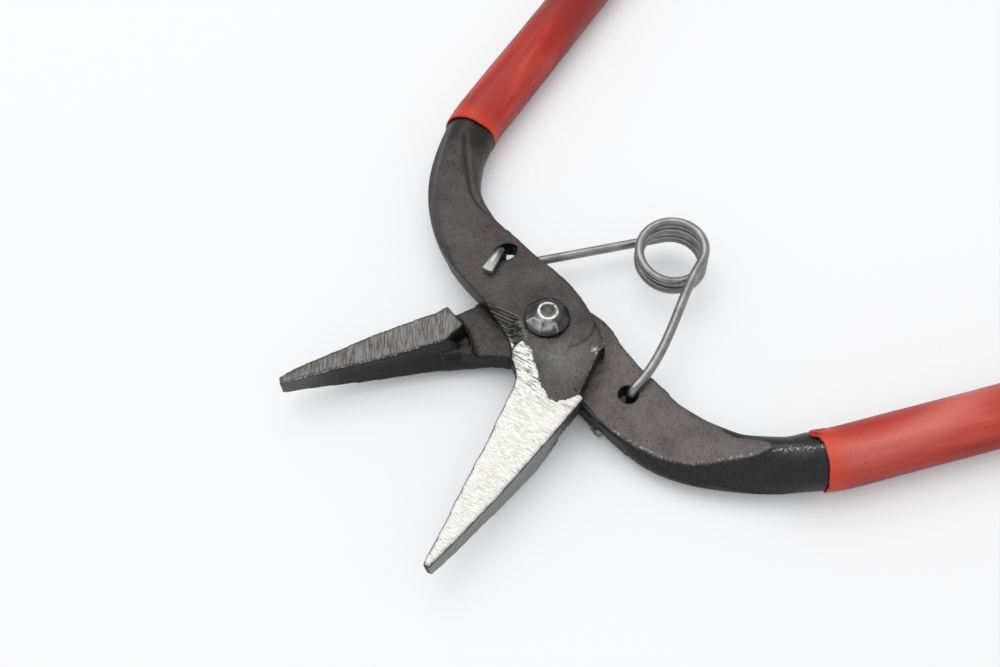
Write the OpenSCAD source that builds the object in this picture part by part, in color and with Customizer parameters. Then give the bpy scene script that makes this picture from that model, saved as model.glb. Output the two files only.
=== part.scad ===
// Looping pliers, lying on a table with the jaws open and the return spring at rest.
// The pivot axis is Z, the table is z = 0, and +X runs from the jaws to the handles.
// Both levers are the same kind of forging, turned over on each other at a lap joint.

/* [Handles] */
// Diameter of the round shank inside a sleeve
shank_d = 9.7; // [8:0.1:11]
// Wall of a sleeve
sleeve_wall = 0.35; // [0.3:0.05:0.8]
// Room between a sleeve and its shank
sleeve_gap = 0.05; // [0.02:0.01:0.1]
// Length of a sleeve's straight part, to the end of its dome
sleeve_len = 75; // [50:1:110]
// Distance from the pivot to the start of the upper handle's bend
upper_bend_start = 10.5; // [9:0.5:16]
// Radius of the upper handle's bend, on its centre line
upper_bend_r = 35; // [32:0.5:40]
// Angle that the upper handle bends through
upper_bend_turn = 76.6; // [68:0.2:80]
// How far the upper sleeve runs back round the bend
upper_lip_back = 3.1; // [1:0.1:8]
// Distance from the pivot to the start of the lower handle's bend
lower_bend_start = 13.6; // [9:0.5:16]
// Radius of the lower handle's bend, on its centre line
lower_bend_r = 38; // [32:0.5:40]
// Angle that the lower handle bends through
lower_bend_turn = 69.4; // [66:0.2:80]
// How far the lower sleeve runs back round the bend
lower_lip_back = 5.7; // [1:0.1:8]
// Angle of a bend over which the strap is still flat
flat_turn = 16; // [12:1:20]

/* [Levers] */
// Thickness of each lever where the two lie on each other
lap_t = 3.9; // [3:0.1:5]
// Running gap between the two levers
lap_gap = 0.08; // [0.05:0.01:0.15]
// Width of the flat strap between the pivot and the bend
strap_w = 12; // [11:0.1:14]
// How far the strap's middle lies to the handle side of the pivot
strap_shift = 1.5; // [0.5:0.1:2]
// Angle by which each strap leans away from the handle side when open
strap_lean = 4.8; // [0:0.1:8]
// Radius of the long curve along the outside of the pivot boss
boss_curve_r = 28; // [24:0.5:36]
// How far that curve stands out past the strap's edge
boss_bulge = 0.4; // [0.2:0.1:1.5]
// Distance from the pivot to the filed step at the heel, along the strap
heel_step_y = 11.3; // [10:0.1:13]
// Depth of the filed step
heel_step = 0.9; // [0.4:0.1:1.5]

/* [Jaws] */
// Length of a jaw from the pivot to its tip
jaw_len = 47.4; // [38:0.2:60]
// Width of the upper jaw at the heel
upper_root_w = 11; // [9:0.1:13]
// Fullness of the upper jaw's back halfway along
upper_mid_w = 7.5; // [5:0.1:9]
// Hollow of the upper jaw's face
upper_hollow = 1.3; // [0.2:0.1:2]
// Width of the lower jaw at the heel
lower_root_w = 8.4; // [7:0.1:13]
// Fullness of the lower jaw's back halfway along
lower_mid_w = 5.8; // [5:0.1:9]
// Hollow of the lower jaw's face
lower_hollow = 0.1; // [0:0.1:2]
// Width of a jaw at its tip
jaw_tip_w = 1.3; // [0.8:0.1:2.5]
// Thickness of a jaw at its tip
jaw_tip_t = 3.2; // [2:0.1:4.5]
// Distance from the pivot to where a jaw starts to thin towards its tip
jaw_taper_start = 16; // [15:0.5:22]
// Angle between the upper jaw's face and the X axis when open
upper_open = 24.4; // [20:0.2:30]
// Angle between the lower jaw's face and the X axis when open
lower_open = 27; // [20:0.2:30]
// Room between the two jaw faces when the pliers are shut
bite_gap = 0.1; // [0.05:0.01:0.3]
// Radius from the pivot past which a jaw has its full thickness
shoulder_r = 13.6; // [13:0.1:15]
// Slant of the full jaw's shoulder
shoulder_slant = 20; // [10:1:28]

/* [Rivet] */
// Diameter of the rivet's shaft
rivet_d = 5; // [4:0.1:6]
// Radial running clearance of the upper lever on the rivet
pivot_play = 0.05; // [0.02:0.01:0.1]
// Diameter of the rivet's domed head
rivet_head_d = 8; // [7:0.1:10]
// Height of the rivet's domed head
rivet_head_h = 2.5; // [1.5:0.1:3]
// Diameter of the flat on top of the rivet's head
rivet_top_d = 4.2; // [3:0.1:5]
// Diameter of the rivet's flat foot
rivet_foot_d = 8; // [7:0.1:10]

/* [Spring] */
// Thickness of the spring wire
wire_d = 1.7; // [1.4:0.05:1.9]
// Diameter of the hole that a spring end hooks through
hook_hole_d = 3; // [2.8:0.1:3.4]
// Distance of the upper hook hole from the pivot along the strap
upper_hook_y = 15.4; // [14.5:0.1:18]
// Distance of the upper hook hole from the pivot across the strap
upper_hook_x = 5; // [3:0.1:5.4]
// Distance of the lower hook hole from the pivot along the strap
lower_hook_y = 18.5; // [17:0.1:20]
// Distance of the lower hook hole from the pivot across the strap
lower_hook_x = 3.4; // [2.4:0.1:5.4]
// How far the wire sits off the middle of its hole
hook_shift = 0.3; // [0:0.05:0.35]
// Mean radius of the spring's coil
coil_r = 5.9; // [5:0.1:7]
// Distance of the coil's axis from the pivot along X
coil_x = 27.4; // [25:0.2:34]
// Distance of the coil's axis from the pivot across X, positive towards the upper lever's handle
coil_y = -3.2; // [-4:0.2:4]
// Full turns of the coil, besides the part turn between the two legs
coil_turns = 2; // [1:1:3]
// Rise of the coil in one turn
coil_pitch = 2.4; // [2.35:0.05:2.6]
// Radius of the bends at the two hooks
hook_bend_r = 1.3; // [1.1:0.1:1.6]
// Length of the upper tail from its hole
upper_tail_len = 5.2; // [3.5:0.1:7]
// Direction of the upper tail
upper_tail_turn = -146; // [-165:1:-125]
// Length of the lower tail from its hole
lower_tail_len = 8.8; // [5:0.1:11]
// Direction of the lower tail
lower_tail_turn = -176; // [-180:1:-165]
// Room between the spring wire and each surface that it passes
wire_gap = 0.15; // [0.1:0.05:0.3]

/* [Hidden] */
$fn = 96;

forged_steel = [0.24, 0.22, 0.22];
rivet_steel = [0.3, 0.3, 0.3];
wire_steel = [0.62, 0.62, 0.62];
grip_red = [0.78, 0.2, 0.15];

// Heights above the table
floor_gap = 0.1;
tail_gap = 0.1;
under_z = floor_gap + wire_d + tail_gap;
lower_top = under_z + lap_t;
upper_under = lower_top + lap_gap;
upper_top = upper_under + lap_t;
lap_z = (lower_top + upper_under) / 2;
sleeve_bore = shank_d + 2 * sleeve_gap;
sleeve_d = sleeve_bore + 2 * sleeve_wall;
shank_z = (sleeve_d + 0.04) / 2;

// Plan of a lever, seen from above, with its handle in +Y and its jaw in -X
strap_in = strap_shift + strap_w / 2;
strap_out = strap_shift - strap_w / 2;
boss_cx = strap_in + boss_bulge - boss_curve_r;
boss_cy = 5;
heel_turn = asin((-heel_step_y - boss_cy) / boss_curve_r);
boss_top_turn = acos(1 - boss_bulge / boss_curve_r);
bite = bite_gap / 2;
heel_t = jaw_taper_start - 4;
sleeve_r = sleeve_d / 2;
straight_len = sleeve_len - sleeve_r;
overlap = 1;
// How far the strap and the shank run into the bend
seam = 0.4;

// What differs between the levers: the jaw's angle, the bend's start, radius and angle, how far the
// sleeve runs back round the bend, the hook hole, and the jaw's widths and hollow
upper = [upper_open - strap_lean, upper_bend_start, upper_bend_r, upper_bend_turn, upper_lip_back,
    [upper_hook_x, upper_hook_y], [upper_root_w, upper_mid_w, upper_hollow]];
lower = [lower_open - strap_lean, lower_bend_start, lower_bend_r, lower_bend_turn, lower_lip_back,
    [lower_hook_x, lower_hook_y], [lower_root_w, lower_mid_w, lower_hollow]];
function jaw_turn(l) = l[0];
function bend_start(l) = l[1];
function bend_r(l) = l[2];
function bend_turn(l) = l[3];
function bend_cx(l) = strap_shift + bend_r(l);
function lip_turn(l) = bend_turn(l) - l[4] / bend_r(l) * 180 / PI;
function round_turn(l) = lip_turn(l) - 3;
function hook_hole(l) = l[5];

// A place on a bend: its distance from the bend's centre, and how far round the bend it is
function on_bend(l, r, a) = [bend_cx(l) - r * cos(a), bend_start(l) + r * sin(a)];

// Points along an arc
function arc(cx, cy, r, from, to, n) =
    [for (i = [0 : n]) let (a = from + (to - from) * i / n) [cx + r * cos(a), cy + r * sin(a)]];

// Points along a curve with one control point
function curve(p, c, q, n) =
    [for (i = [0 : n]) let (u = i / n) (1 - u) * (1 - u) * p + 2 * u * (1 - u) * c + u * u * q];

// A place on a jaw that opens by the angle "open": t along its face, w across towards its back
function on_jaw(open, t, w) =
    [-t * cos(open) + w * sin(open), -t * sin(open) - w * cos(open)];

// Where the jaw's face meets the strap's outer edge, and the fillet between the two
function crotch_t(open) = (-strap_out) / cos(open);
function crotch_half(open) = (90 + open) / 2;
function crotch_r(open) = (shoulder_r - 0.2 - crotch_t(open)) * tan(crotch_half(open));
function crotch_cy(open) = on_jaw(open, crotch_t(open), 0)[1]
    + crotch_r(open) / tan(crotch_half(open));

// Triangles of a closed tube with "rows" rings of "sides" points
function tube_faces(rows, sides) = concat(
    [for (k = [1 : sides - 2]) [0, k, k + 1]],
    [for (i = [0 : rows - 2], k = [0 : sides - 1], h = [0, 1])
        let (
            a = i * sides + k,
            b = i * sides + (k + 1) % sides,
            c = a + sides,
            d = b + sides
        )
        h == 0 ? [a, d, b] : [a, c, d]],
    [for (k = [1 : sides - 2]) [for (j = [0, k + 1, k]) (rows - 1) * sides + j]]
);

module lever_plan(l) {
    open = jaw_turn(l);
    heel = [boss_cx + boss_curve_r * cos(heel_turn), boss_cy + boss_curve_r * sin(heel_turn)];
    half_w = strap_w / 2;
    round_end = flat_turn + 0.6;
    polygon(concat(
        [for (i = [0 : 8]) on_bend(l, bend_r(l) - half_w, round_end * (1 - i / 8))],
        arc(boss_cx, boss_cy, boss_curve_r, boss_top_turn, heel_turn, 24),
        [heel - [heel_step, -heel_step / 2]],
        curve(on_jaw(open, heel_t, l[6][0]), on_jaw(open, jaw_len * 0.58, l[6][1]),
            on_jaw(open, jaw_len, jaw_tip_w), 20),
        curve(on_jaw(open, jaw_len, bite), on_jaw(open, jaw_len * 0.6, bite + 2 * l[6][2]),
            on_jaw(open, shoulder_r - 0.2, bite), 16),
        arc(strap_out - crotch_r(open), crotch_cy(open), crotch_r(open), open - 90, 0, 16),
        [for (i = [0 : 8]) on_bend(l, bend_r(l) + half_w, round_end * i / 8)]
    ));
}

// The half of a lever that is cut away so that the other lever can lie against it
module lap_cut(open) {
    translate([0, 0, -lap_t - 2])
        linear_extrude(lap_t + 2 + lap_gap / 2) {
            circle(r = shoulder_r);
            rotate(open - shoulder_slant)
                translate([1 - shoulder_r, -60])
                    square([120, 120]);
        }
}

// Side view of a lever along its jaw, thick at the pivot and thin at the tip
module jaw_side(open) {
    slope = (lap_t + lap_gap / 2 - jaw_tip_t / 2) / (jaw_len - jaw_taper_start);
    back = -60;
    past = 3;
    thick = jaw_tip_t / 2 + slope * (jaw_len - back);
    thin = jaw_tip_t / 2 - slope * past;
    rotate(180 + open)
        rotate([90, 0, 0])
            linear_extrude(160, center = true)
                polygon([[back, -thick], [jaw_len + past, -thin], [jaw_len + past, thin], [back, thick]]);
}

// The flat half of a lever, with the lap plane at z = 0 and the plate above it
module plate_and_jaw(l) {
    intersection() {
        difference() {
            linear_extrude(2 * lap_t + lap_gap, center = true)
                lever_plan(l);
            lap_cut(jaw_turn(l));
        }
        jaw_side(jaw_turn(l));
    }
}

// Eases from 0 to 1 as x goes from a to b
function ease(x, a, b) = let (u = min(1, max(0, (x - a) / (b - a)))) u * u * (3 - 2 * u);
function mix(a, b, u) = a + (b - a) * u;
function power(x, p) = sign(x) * pow(abs(x), p);

// The bend, from the flat strap to the round shank. top and under are the plate's own levels.
bend_rings = 22;
bend_sides = 32;
module bend(l, top, under, top_from, top_to, under_from, under_to, waist) {
    shank_top = shank_z + shank_d / 2;
    shank_under = shank_z - shank_d / 2;
    inset = 0.05;
    r0 = bend_r(l);
    points = [
        for (i = [-1 : bend_rings])
            let (
                u = max(0, i) / bend_rings,
                a = mix(flat_turn, round_turn(l), u) - (i < 0 ? 1.6 : 0),
                z1 = mix(top, shank_top, ease(u, top_from, top_to)) - inset,
                z0 = mix(under, shank_under, ease(u, under_from, under_to)) + inset,
                half_w = mix(strap_w, shank_d, ease(u, 0, waist)) / 2 - inset,
                round = mix(0.22, 1, ease(u, 0.1, 1))
            )
            for (k = [0 : bend_sides - 1])
                let (s = 360 * (k + 0.5) / bend_sides)
                concat(on_bend(l, r0 + half_w * power(cos(s), round), a),
                    (z1 + z0) / 2 + (z1 - z0) / 2 * power(sin(s), round))
    ];
    polyhedron(points, tube_faces(bend_rings + 2, bend_sides));
}

// A round bar along a handle: round the bend from the angle "from", then straight, then a dome.
// The straight part is a hair thicker and starts a little way back, so the two join in a clean step.
bar_step = 0.04;
bar_back = 0.3;
module handle_bar(l, from, d) {
    translate([bend_cx(l), bend_start(l), shank_z])
        rotate(180 - bend_turn(l))
            rotate_extrude(angle = bend_turn(l) - from)
                translate([bend_r(l), 0])
                    circle(d = d);
    translate(concat(on_bend(l, bend_r(l), bend_turn(l)), shank_z))
        rotate(90 - bend_turn(l))
            rotate([0, 90, 0]) {
                translate([0, 0, -bar_back])
                    cylinder(h = straight_len + bar_back, d = d + bar_step);
                translate([0, 0, straight_len])
                    sphere(d = d + bar_step);
            }
}

module sleeve(l) {
    rotate(strap_lean)
        difference() {
            handle_bar(l, lip_turn(l), sleeve_d);
            handle_bar(l, lip_turn(l) - 2, sleeve_bore);
        }
}

// A whole lever before it is turned to its place
module lever(l, pivot_d) {
    rotate(strap_lean)
        difference() {
            children();
            translate([0, 0, -10])
                cylinder(h = 40, d = pivot_d);
            translate([hook_hole(l)[0], hook_hole(l)[1], -10])
                cylinder(h = 40, d = hook_hole_d);
        }
}

module upper_lever() {
    color(forged_steel)
        lever(upper, rivet_d + 2 * pivot_play)
            union() {
                translate([0, 0, lap_z])
                    plate_and_jaw(upper);
                bend(upper, upper_top, upper_under, 0.4, 1, 0.08, 0.8, 0.9);
                handle_bar(upper, round_turn(upper) - 0.6, shank_d);
            }
}

module lower_lever() {
    color(forged_steel)
        mirror([0, 1, 0])
            lever(lower, rivet_d)
                union() {
                    translate([0, 0, lap_z])
                        mirror([0, 0, 1])
                            plate_and_jaw(lower);
                    bend(lower, lower_top, under_z, 0.3, 1, 0.3, 1, 0.6);
                    handle_bar(lower, round_turn(lower) - 0.6, shank_d);
                }
}

module upper_sleeve() {
    color(grip_red)
        sleeve(upper);
}

module lower_sleeve() {
    color(grip_red)
        mirror([0, 1, 0])
            sleeve(lower);
}

module pivot_rivet() {
    seat = 0.05;
    foot_z = under_z - seat;
    head_z = upper_top + seat;
    foot_edge = 0.4;
    rim = 0.5;
    color(rivet_steel)
        rotate_extrude()
            polygon(concat(
                [[0, 0], [rivet_foot_d / 2 - foot_edge, 0], [rivet_foot_d / 2, foot_edge],
                    [rivet_foot_d / 2, foot_z], [rivet_d / 2, foot_z], [rivet_d / 2, head_z]],
                curve([rivet_head_d / 2, head_z], [rivet_head_d / 2 - rim, head_z + rivet_head_h * 0.75],
                    [rivet_top_d / 2, head_z + rivet_head_h], 8),
                [[0, head_z + rivet_head_h]]
            ));
}

// The spring's wire, as points along its middle from the upper tail to the lower tail
wire_r = wire_d / 2;
ring_per_turn = 24;
wire_sides = 8;
bend_steps = 5;
function turned(p, a) = [p[0] * cos(a) - p[1] * sin(a), p[0] * sin(a) + p[1] * cos(a)];
upper_hole = turned(hook_hole(upper), strap_lean);
lower_hole = turned(hook_hole(lower), strap_lean);
hook_a = [upper_hole[0] - hook_shift * 0.8, upper_hole[1] + hook_shift * 0.6];
hook_b = [lower_hole[0] + hook_shift * 0.8, -lower_hole[1] - hook_shift * 0.6];
coil_c = [coil_x, coil_y];
reach_a = norm(coil_c - hook_a);
reach_b = norm(coil_c - hook_b);
leg_a_turn = atan2(coil_c[1] - hook_a[1], coil_c[0] - hook_a[0]) + asin(coil_r / reach_a);
leg_b_turn = atan2(coil_c[1] - hook_b[1], coil_c[0] - hook_b[0]) - asin(coil_r / reach_b);
coil_from = leg_a_turn + 90;
coil_sweep = leg_a_turn - leg_b_turn + 180 + 360 * coil_turns;
coil_rise = coil_pitch * coil_sweep / 360;
leg_a_z = upper_under - wire_gap - wire_r;
leg_b_z = lower_top + wire_gap + wire_r;
tail_a_z = upper_top + wire_gap + wire_r;
tail_b_z = floor_gap + wire_r;
coil_mid_z = (leg_a_z + leg_b_z) / 2;
coil_under_z = coil_mid_z - coil_rise / 2;
coil_steps = ceil(coil_sweep / 360 * ring_per_turn);

function place(p, turn, r, z) = [p[0] + r * cos(turn), p[1] + r * sin(turn), z];

// The wire is cut across the upper leg, a short way before the coil, so that the leg can swing
cut_back = wire_d;
cut_gap = 0.1;
coil_start = place(coil_c, coil_from, coil_r, coil_under_z);
leg_foot = place(hook_a, leg_a_turn, hook_bend_r, leg_a_z);
leg_dir = (coil_start - leg_foot) / norm(coil_start - leg_foot);
coil_path = concat(
    [coil_start - cut_back * leg_dir],
    [for (i = [0 : coil_steps])
        place(coil_c, coil_from - coil_sweep * i / coil_steps, coil_r, coil_under_z + coil_rise * i / coil_steps)]
);

arm_path = concat(
    [place(hook_a, upper_tail_turn, upper_tail_len, tail_a_z)],
    [for (i = [0 : bend_steps]) let (b = 90 * i / bend_steps)
        place(hook_a, upper_tail_turn, hook_bend_r * (1 - sin(b)), tail_a_z - hook_bend_r * (1 - cos(b)))],
    [for (i = [0 : bend_steps]) let (b = 90 - 90 * i / bend_steps)
        place(hook_a, leg_a_turn, hook_bend_r * (1 - sin(b)), leg_a_z + hook_bend_r * (1 - cos(b)))],
    [coil_start - (cut_back + cut_gap) * leg_dir]
);

lower_end_path = concat(
    [for (i = [0 : bend_steps]) let (b = 90 * i / bend_steps)
        place(hook_b, leg_b_turn, hook_bend_r * (1 - sin(b)), leg_b_z - hook_bend_r * (1 - cos(b)))],
    [for (i = [0 : bend_steps]) let (b = 90 - 90 * i / bend_steps)
        place(hook_b, lower_tail_turn, hook_bend_r * (1 - sin(b)), tail_b_z + hook_bend_r * (1 - cos(b)))],
    [place(hook_b, lower_tail_turn, lower_tail_len, tail_b_z)]
);

function unit(v) = v / norm(v);
function headings(path) = [for (i = [0 : len(path) - 1])
    unit(i == 0 ? path[1] - path[0] : i == len(path) - 1 ? path[i] - path[i - 1]
        : unit(path[i + 1] - path[i]) + unit(path[i] - path[i - 1]))];
// Carries a side direction along the path without twist
function across(v, t) = unit(v - (v * t) * t);
function sides_along(t, first) = [for (i = 0, v = across(first, t[0]); i < len(t);
    i = i + 1, v = i < len(t) ? across(v, t[i]) : v) v];

module wire(path, first) {
    t = headings(path);
    u = sides_along(t, first);
    n = len(path);
    points = [for (i = [0 : n - 1], k = [0 : wire_sides - 1])
        let (s = 360 * (k + 0.5) / wire_sides)
        path[i] + wire_r * (cos(s) * u[i] + sin(s) * cross(t[i], u[i]))];
    polyhedron(points, tube_faces(n, wire_sides));
}

// Least gap between parts of the wire that lie at least half a turn apart, measured on its points
all_points = concat(arm_path, coil_path, lower_end_path);
apart = ring_per_turn / 2;
self_gap = min([for (i = [0 : len(all_points) - 1], j = [i + 1 : 1 : len(all_points) - 1])
    if (j - i > apart) norm(all_points[i] - all_points[j]) - wire_d]);
echo(str("Least gap of the spring to itself, in mm: ", self_gap));
echo(str("Upper hook at ", hook_a, ", lower hook at ", hook_b, ", coil axis at ", coil_c));

module torsion_spring() {
    color(wire_steel)
        wire(concat(coil_path, lower_end_path), [0, 0, 1]);
}

module spring_upper_leg() {
    color(wire_steel)
        wire(arm_path, [0, 0, 1]);
}

lower_lever();
upper_lever();
pivot_rivet();
torsion_spring();
spring_upper_leg();
lower_sleeve();
upper_sleeve();
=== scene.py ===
import math

import bmesh
import bpy
from mathutils import Matrix, Vector, noise


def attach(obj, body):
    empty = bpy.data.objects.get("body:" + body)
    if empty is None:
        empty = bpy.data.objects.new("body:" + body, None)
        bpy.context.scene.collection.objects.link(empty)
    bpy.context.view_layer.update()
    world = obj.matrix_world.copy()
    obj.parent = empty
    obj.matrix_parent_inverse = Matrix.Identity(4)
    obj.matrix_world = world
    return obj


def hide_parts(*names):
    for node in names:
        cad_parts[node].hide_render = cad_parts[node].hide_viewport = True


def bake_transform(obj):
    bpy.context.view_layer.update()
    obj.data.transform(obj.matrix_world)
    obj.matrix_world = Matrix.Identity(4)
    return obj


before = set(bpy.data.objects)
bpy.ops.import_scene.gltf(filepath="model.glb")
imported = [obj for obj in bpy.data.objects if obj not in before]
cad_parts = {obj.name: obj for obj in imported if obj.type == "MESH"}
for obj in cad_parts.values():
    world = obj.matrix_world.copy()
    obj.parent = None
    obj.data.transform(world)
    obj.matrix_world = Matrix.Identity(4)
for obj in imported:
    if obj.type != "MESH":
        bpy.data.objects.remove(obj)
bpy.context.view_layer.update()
scene = bpy.context.scene
scene.view_settings.view_transform = "Standard"

# the pieces are worked in millimetres and made metres at the end
millimetre = 0.001

# the plan of the two levers, as the solids have it
strapLean = math.radians(4.8)
shankHeight = 5.27
upperPlan = {
    "side": 1, "jawTurn": 24.4, "lipBack": 5.9,
    "bendX": 36.5, "bendY": 10.5, "bendRadius": 35, "bendTurn": 76.6,
}
lowerPlan = {
    "side": -1, "jawTurn": 27, "lipBack": 5.7,
    "bendX": 39.5, "bendY": 13.6, "bendRadius": 38, "bendTurn": 69.4,
}


def eased(value, low, high):
    share = min(1, max(0, (value - low) / (high - low)))
    return share * share * (3 - 2 * share)


def within(value, low, full, fading, high):
    # rises from low to full, and falls again from fading to high
    return eased(value, low, full) * (1 - eased(value, fading, high))


def hump(value, middle, width):
    return math.exp(-((value - middle) / width) ** 2)


def between(table, value):
    # straight lines between the pairs of a small table
    if value <= table[0][0]:
        return table[0][1]
    for (x0, y0), (x1, y1) in zip(table, table[1:]):
        if value <= x1:
            return y0 + (y1 - y0) * (value - x0) / (x1 - x0)
    return table[-1][1]


def grain(point, size, seed=0):
    shift = Vector((seed * 7.3, -seed * 3.1, 0))
    return noise.noise(point / size + shift)


def strapPlace(point, plan):
    # x across and y along the strap, with the handle in +y
    x, y = point.x, point.y * plan["side"]
    c, s = math.cos(strapLean), math.sin(strapLean)
    return x * c + y * s, y * c - x * s


def bendPlace(point, plan):
    # distance from the bend's centre, and degrees round the bend
    x, y = strapPlace(point, plan)
    dx, dy = plan["bendX"] - x, y - plan["bendY"]
    return math.hypot(dx, dy), math.degrees(math.atan2(dy, dx))


def bendShift(plan, turn, amount):
    # a move away from the bend's centre
    a = math.radians(turn)
    x, y = -math.cos(a) * amount, math.sin(a) * amount
    c, s = math.cos(strapLean), math.sin(strapLean)
    return Vector((x * c - y * s, (x * s + y * c) * plan["side"], 0))


def jawPlace(point, plan):
    # distance along the jaw, and across it from its face to its back
    turn = math.radians(plan["jawTurn"])
    x, y = point.x, point.y * plan["side"]
    return -x * math.cos(turn) - y * math.sin(turn), x * math.sin(turn) - y * math.cos(turn)


def jawShift(plan, across, along=0):
    turn = math.radians(plan["jawTurn"])
    x = math.sin(turn) * across - math.cos(turn) * along
    y = -math.cos(turn) * across - math.sin(turn) * along
    return Vector((x, y * plan["side"], 0))


def nearLine(point, line):
    # distance to a line of the plan, and the amount given there
    best = (99, 0)
    for (x0, y0, a0), (x1, y1, a1) in zip(line, line[1:]):
        dx, dy = x1 - x0, y1 - y0
        share = min(1, max(0, ((point.x - x0) * dx + (point.y - y0) * dy) / (dx * dx + dy * dy)))
        gap = math.hypot(point.x - x0 - dx * share, point.y - y0 - dy * share)
        if gap < best[0]:
            best = (gap, a0 + (a1 - a0) * share)
    return best


def widenHole(point, place, amount):
    # the wire has rubbed its hole a little wide
    dx, dy = point.x - place[0], point.y - place[1]
    reach = max(0.1, math.hypot(dx, dy))
    return Vector((dx, dy, 0)) / reach * amount * (1 - eased(reach, 1.6, 2.6))


def smoothed(bm, rounds):
    for i in range(rounds):
        bmesh.ops.smooth_vert(
            bm, verts=bm.verts, factor=0.5, use_axis_x=True, use_axis_y=True, use_axis_z=True)
    bm.normal_update()


def meshFrom(bm, name):
    mesh = bpy.data.meshes.new(name)
    bm.to_mesh(mesh)
    bm.free()
    return mesh


def finishedMesh(bm, name, values):
    # in metres, with its masks kept as attributes
    bmesh.ops.scale(bm, vec=[millimetre] * 3, verts=bm.verts)
    mesh = meshFrom(bm, name)
    for mask, numbers in values.items():
        attribute = mesh.attributes.new(mask, "FLOAT", "POINT")
        attribute.data.foreach_set("value", numbers)
    return mesh


def loaded(mesh):
    bm = bmesh.new()
    bm.from_mesh(mesh)
    return bm


def edgesOf(geom):
    return [g for g in geom if isinstance(g, bmesh.types.BMEdge)]


def placed(name, data):
    thing = bpy.data.objects.new(name, data)
    scene.collection.objects.link(thing)
    return thing


def evaluatedMesh(helper):
    bpy.context.view_layer.update()
    depsgraph = bpy.context.evaluated_depsgraph_get()
    mesh = bpy.data.meshes.new_from_object(helper.evaluated_get(depsgraph))
    bpy.data.objects.remove(helper)
    return mesh


def remeshed(mesh, voxel):
    # worked in millimetres, so that a fine voxel stays a plain number
    helper = placed("remeshHelper", mesh)
    modifier = helper.modifiers.new("remesh", "REMESH")
    modifier.mode = "VOXEL"
    modifier.voxel_size = voxel
    modifier.adaptivity = 0
    return evaluatedMesh(helper)


def addPiece(name, mesh, material, body, nodes):
    piece = placed(name, mesh)
    mesh.materials.clear()
    mesh.materials.append(material)
    for face in mesh.polygons:
        face.use_smooth = True
    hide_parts(*nodes)
    if body:
        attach(piece, body)
    return piece


# materials

def addNode(nodes, kind, inputs=None, **settings):
    node = nodes.new("ShaderNode" + kind)
    for name, value in settings.items():
        setattr(node, name, value)
    for name, value in (inputs or {}).items():
        node.inputs[name].default_value = value
    return node


class NodeTree:
    # short ways to add and join the nodes of one material
    def __init__(self, name):
        self.material = bpy.data.materials.new(name)
        self.material.use_nodes = True
        self.nodes = self.material.node_tree.nodes
        self.links = self.material.node_tree.links
        self.shader = self.nodes["Principled BSDF"]
        self.place = addNode(self.nodes, "TexCoord").outputs["Object"]

    def put(self, value, socket):
        if isinstance(value, bpy.types.NodeSocket):
            self.links.new(value, socket)
        else:
            socket.default_value = value

    def finish(self, **inputs):
        for name, value in inputs.items():
            self.put(value, self.shader.inputs[name.replace("_", " ")])
        return self.material

    def mapped(self, turn=0, stretch=(1, 1, 1), shift=(0, 0, 0)):
        # finer along or across one direction of the plan
        inputs = {
            "Rotation": (0, 0, math.radians(turn)),
            "Scale": tuple(1 / s for s in stretch),
            "Location": shift,
        }
        node = addNode(self.nodes, "Mapping", inputs, vector_type="TEXTURE")
        self.links.new(self.place, node.inputs["Vector"])
        return node.outputs["Vector"]

    def noise(self, size, detail=4, rough=0.55, vector=None, twist=0):
        # size is the width of a patch in millimetres
        inputs = {"Scale": 1 / millimetre / size, "Detail": detail, "Roughness": rough, "Distortion": twist}
        node = addNode(self.nodes, "TexNoise", inputs)
        self.links.new(vector or self.place, node.inputs["Vector"])
        return node.outputs["Fac"]

    def mask(self, name):
        return addNode(self.nodes, "Attribute", attribute_name=name).outputs["Fac"]

    def times(self, a, b, operation="MULTIPLY"):
        node = addNode(self.nodes, "Math", operation=operation)
        self.put(a, node.inputs[0])
        self.put(b, node.inputs[1])
        return node.outputs[0]

    def plus(self, a, b):
        return self.times(a, b, "ADD")

    def spread(self, value, low, high, outLow=0, outHigh=1, soft=False):
        inputs = {"From Min": low, "From Max": high, "To Min": outLow, "To Max": outHigh}
        node = addNode(self.nodes, "MapRange", inputs)
        node.interpolation_type = "SMOOTHSTEP" if soft else "LINEAR"
        self.links.new(value, node.inputs["Value"])
        return node.outputs["Result"]

    def paint(self, share, base, top):
        # a colour laid over another one, by a share
        node = addNode(self.nodes, "Mix", data_type="RGBA")
        self.put(share, node.inputs["Factor"])
        for value, name in ((base, "A"), (top, "B")):
            self.put((*value, 1) if isinstance(value, tuple) else value, node.inputs[name])
        return node.outputs["Result"]

    def blendNumber(self, share, a, b):
        node = addNode(self.nodes, "Mix", data_type="FLOAT")
        self.put(share, node.inputs[0])
        self.put(a, node.inputs[2])
        self.put(b, node.inputs[3])
        return node.outputs[0]

    def bump(self, height, strength, depth):
        node = addNode(self.nodes, "Bump", {"Strength": strength, "Distance": depth})
        self.links.new(height, node.inputs["Height"])
        return node.outputs["Normal"]


def dimmed(colour, share):
    return tuple(v * share for v in colour)


# colours that both levers share
steelColours = {
    "scaleDark": (0.026, 0.023, 0.022),
    "scaleLight": (0.095, 0.088, 0.085),
    "cloud": (0.1, 0.093, 0.089),
    "red": (0.095, 0.047, 0.042),
    "speck": (0.115, 0.107, 0.103),
    "pit": (0.022, 0.019, 0.019),
    "brushed": (0.17, 0.15, 0.142),
    "scratch": (0.34, 0.35, 0.33),
    "gouge": (0.018, 0.018, 0.018),
    "wallDark": (0.21, 0.21, 0.21),
    "wallLight": (0.38, 0.375, 0.37),
    "scribedLineAndShade": (0.022, 0.017, 0.016),
    "wearAndHighlight": (0.6, 0.59, 0.57),
    "deepMark": (0.05, 0.045, 0.04),
}


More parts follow.
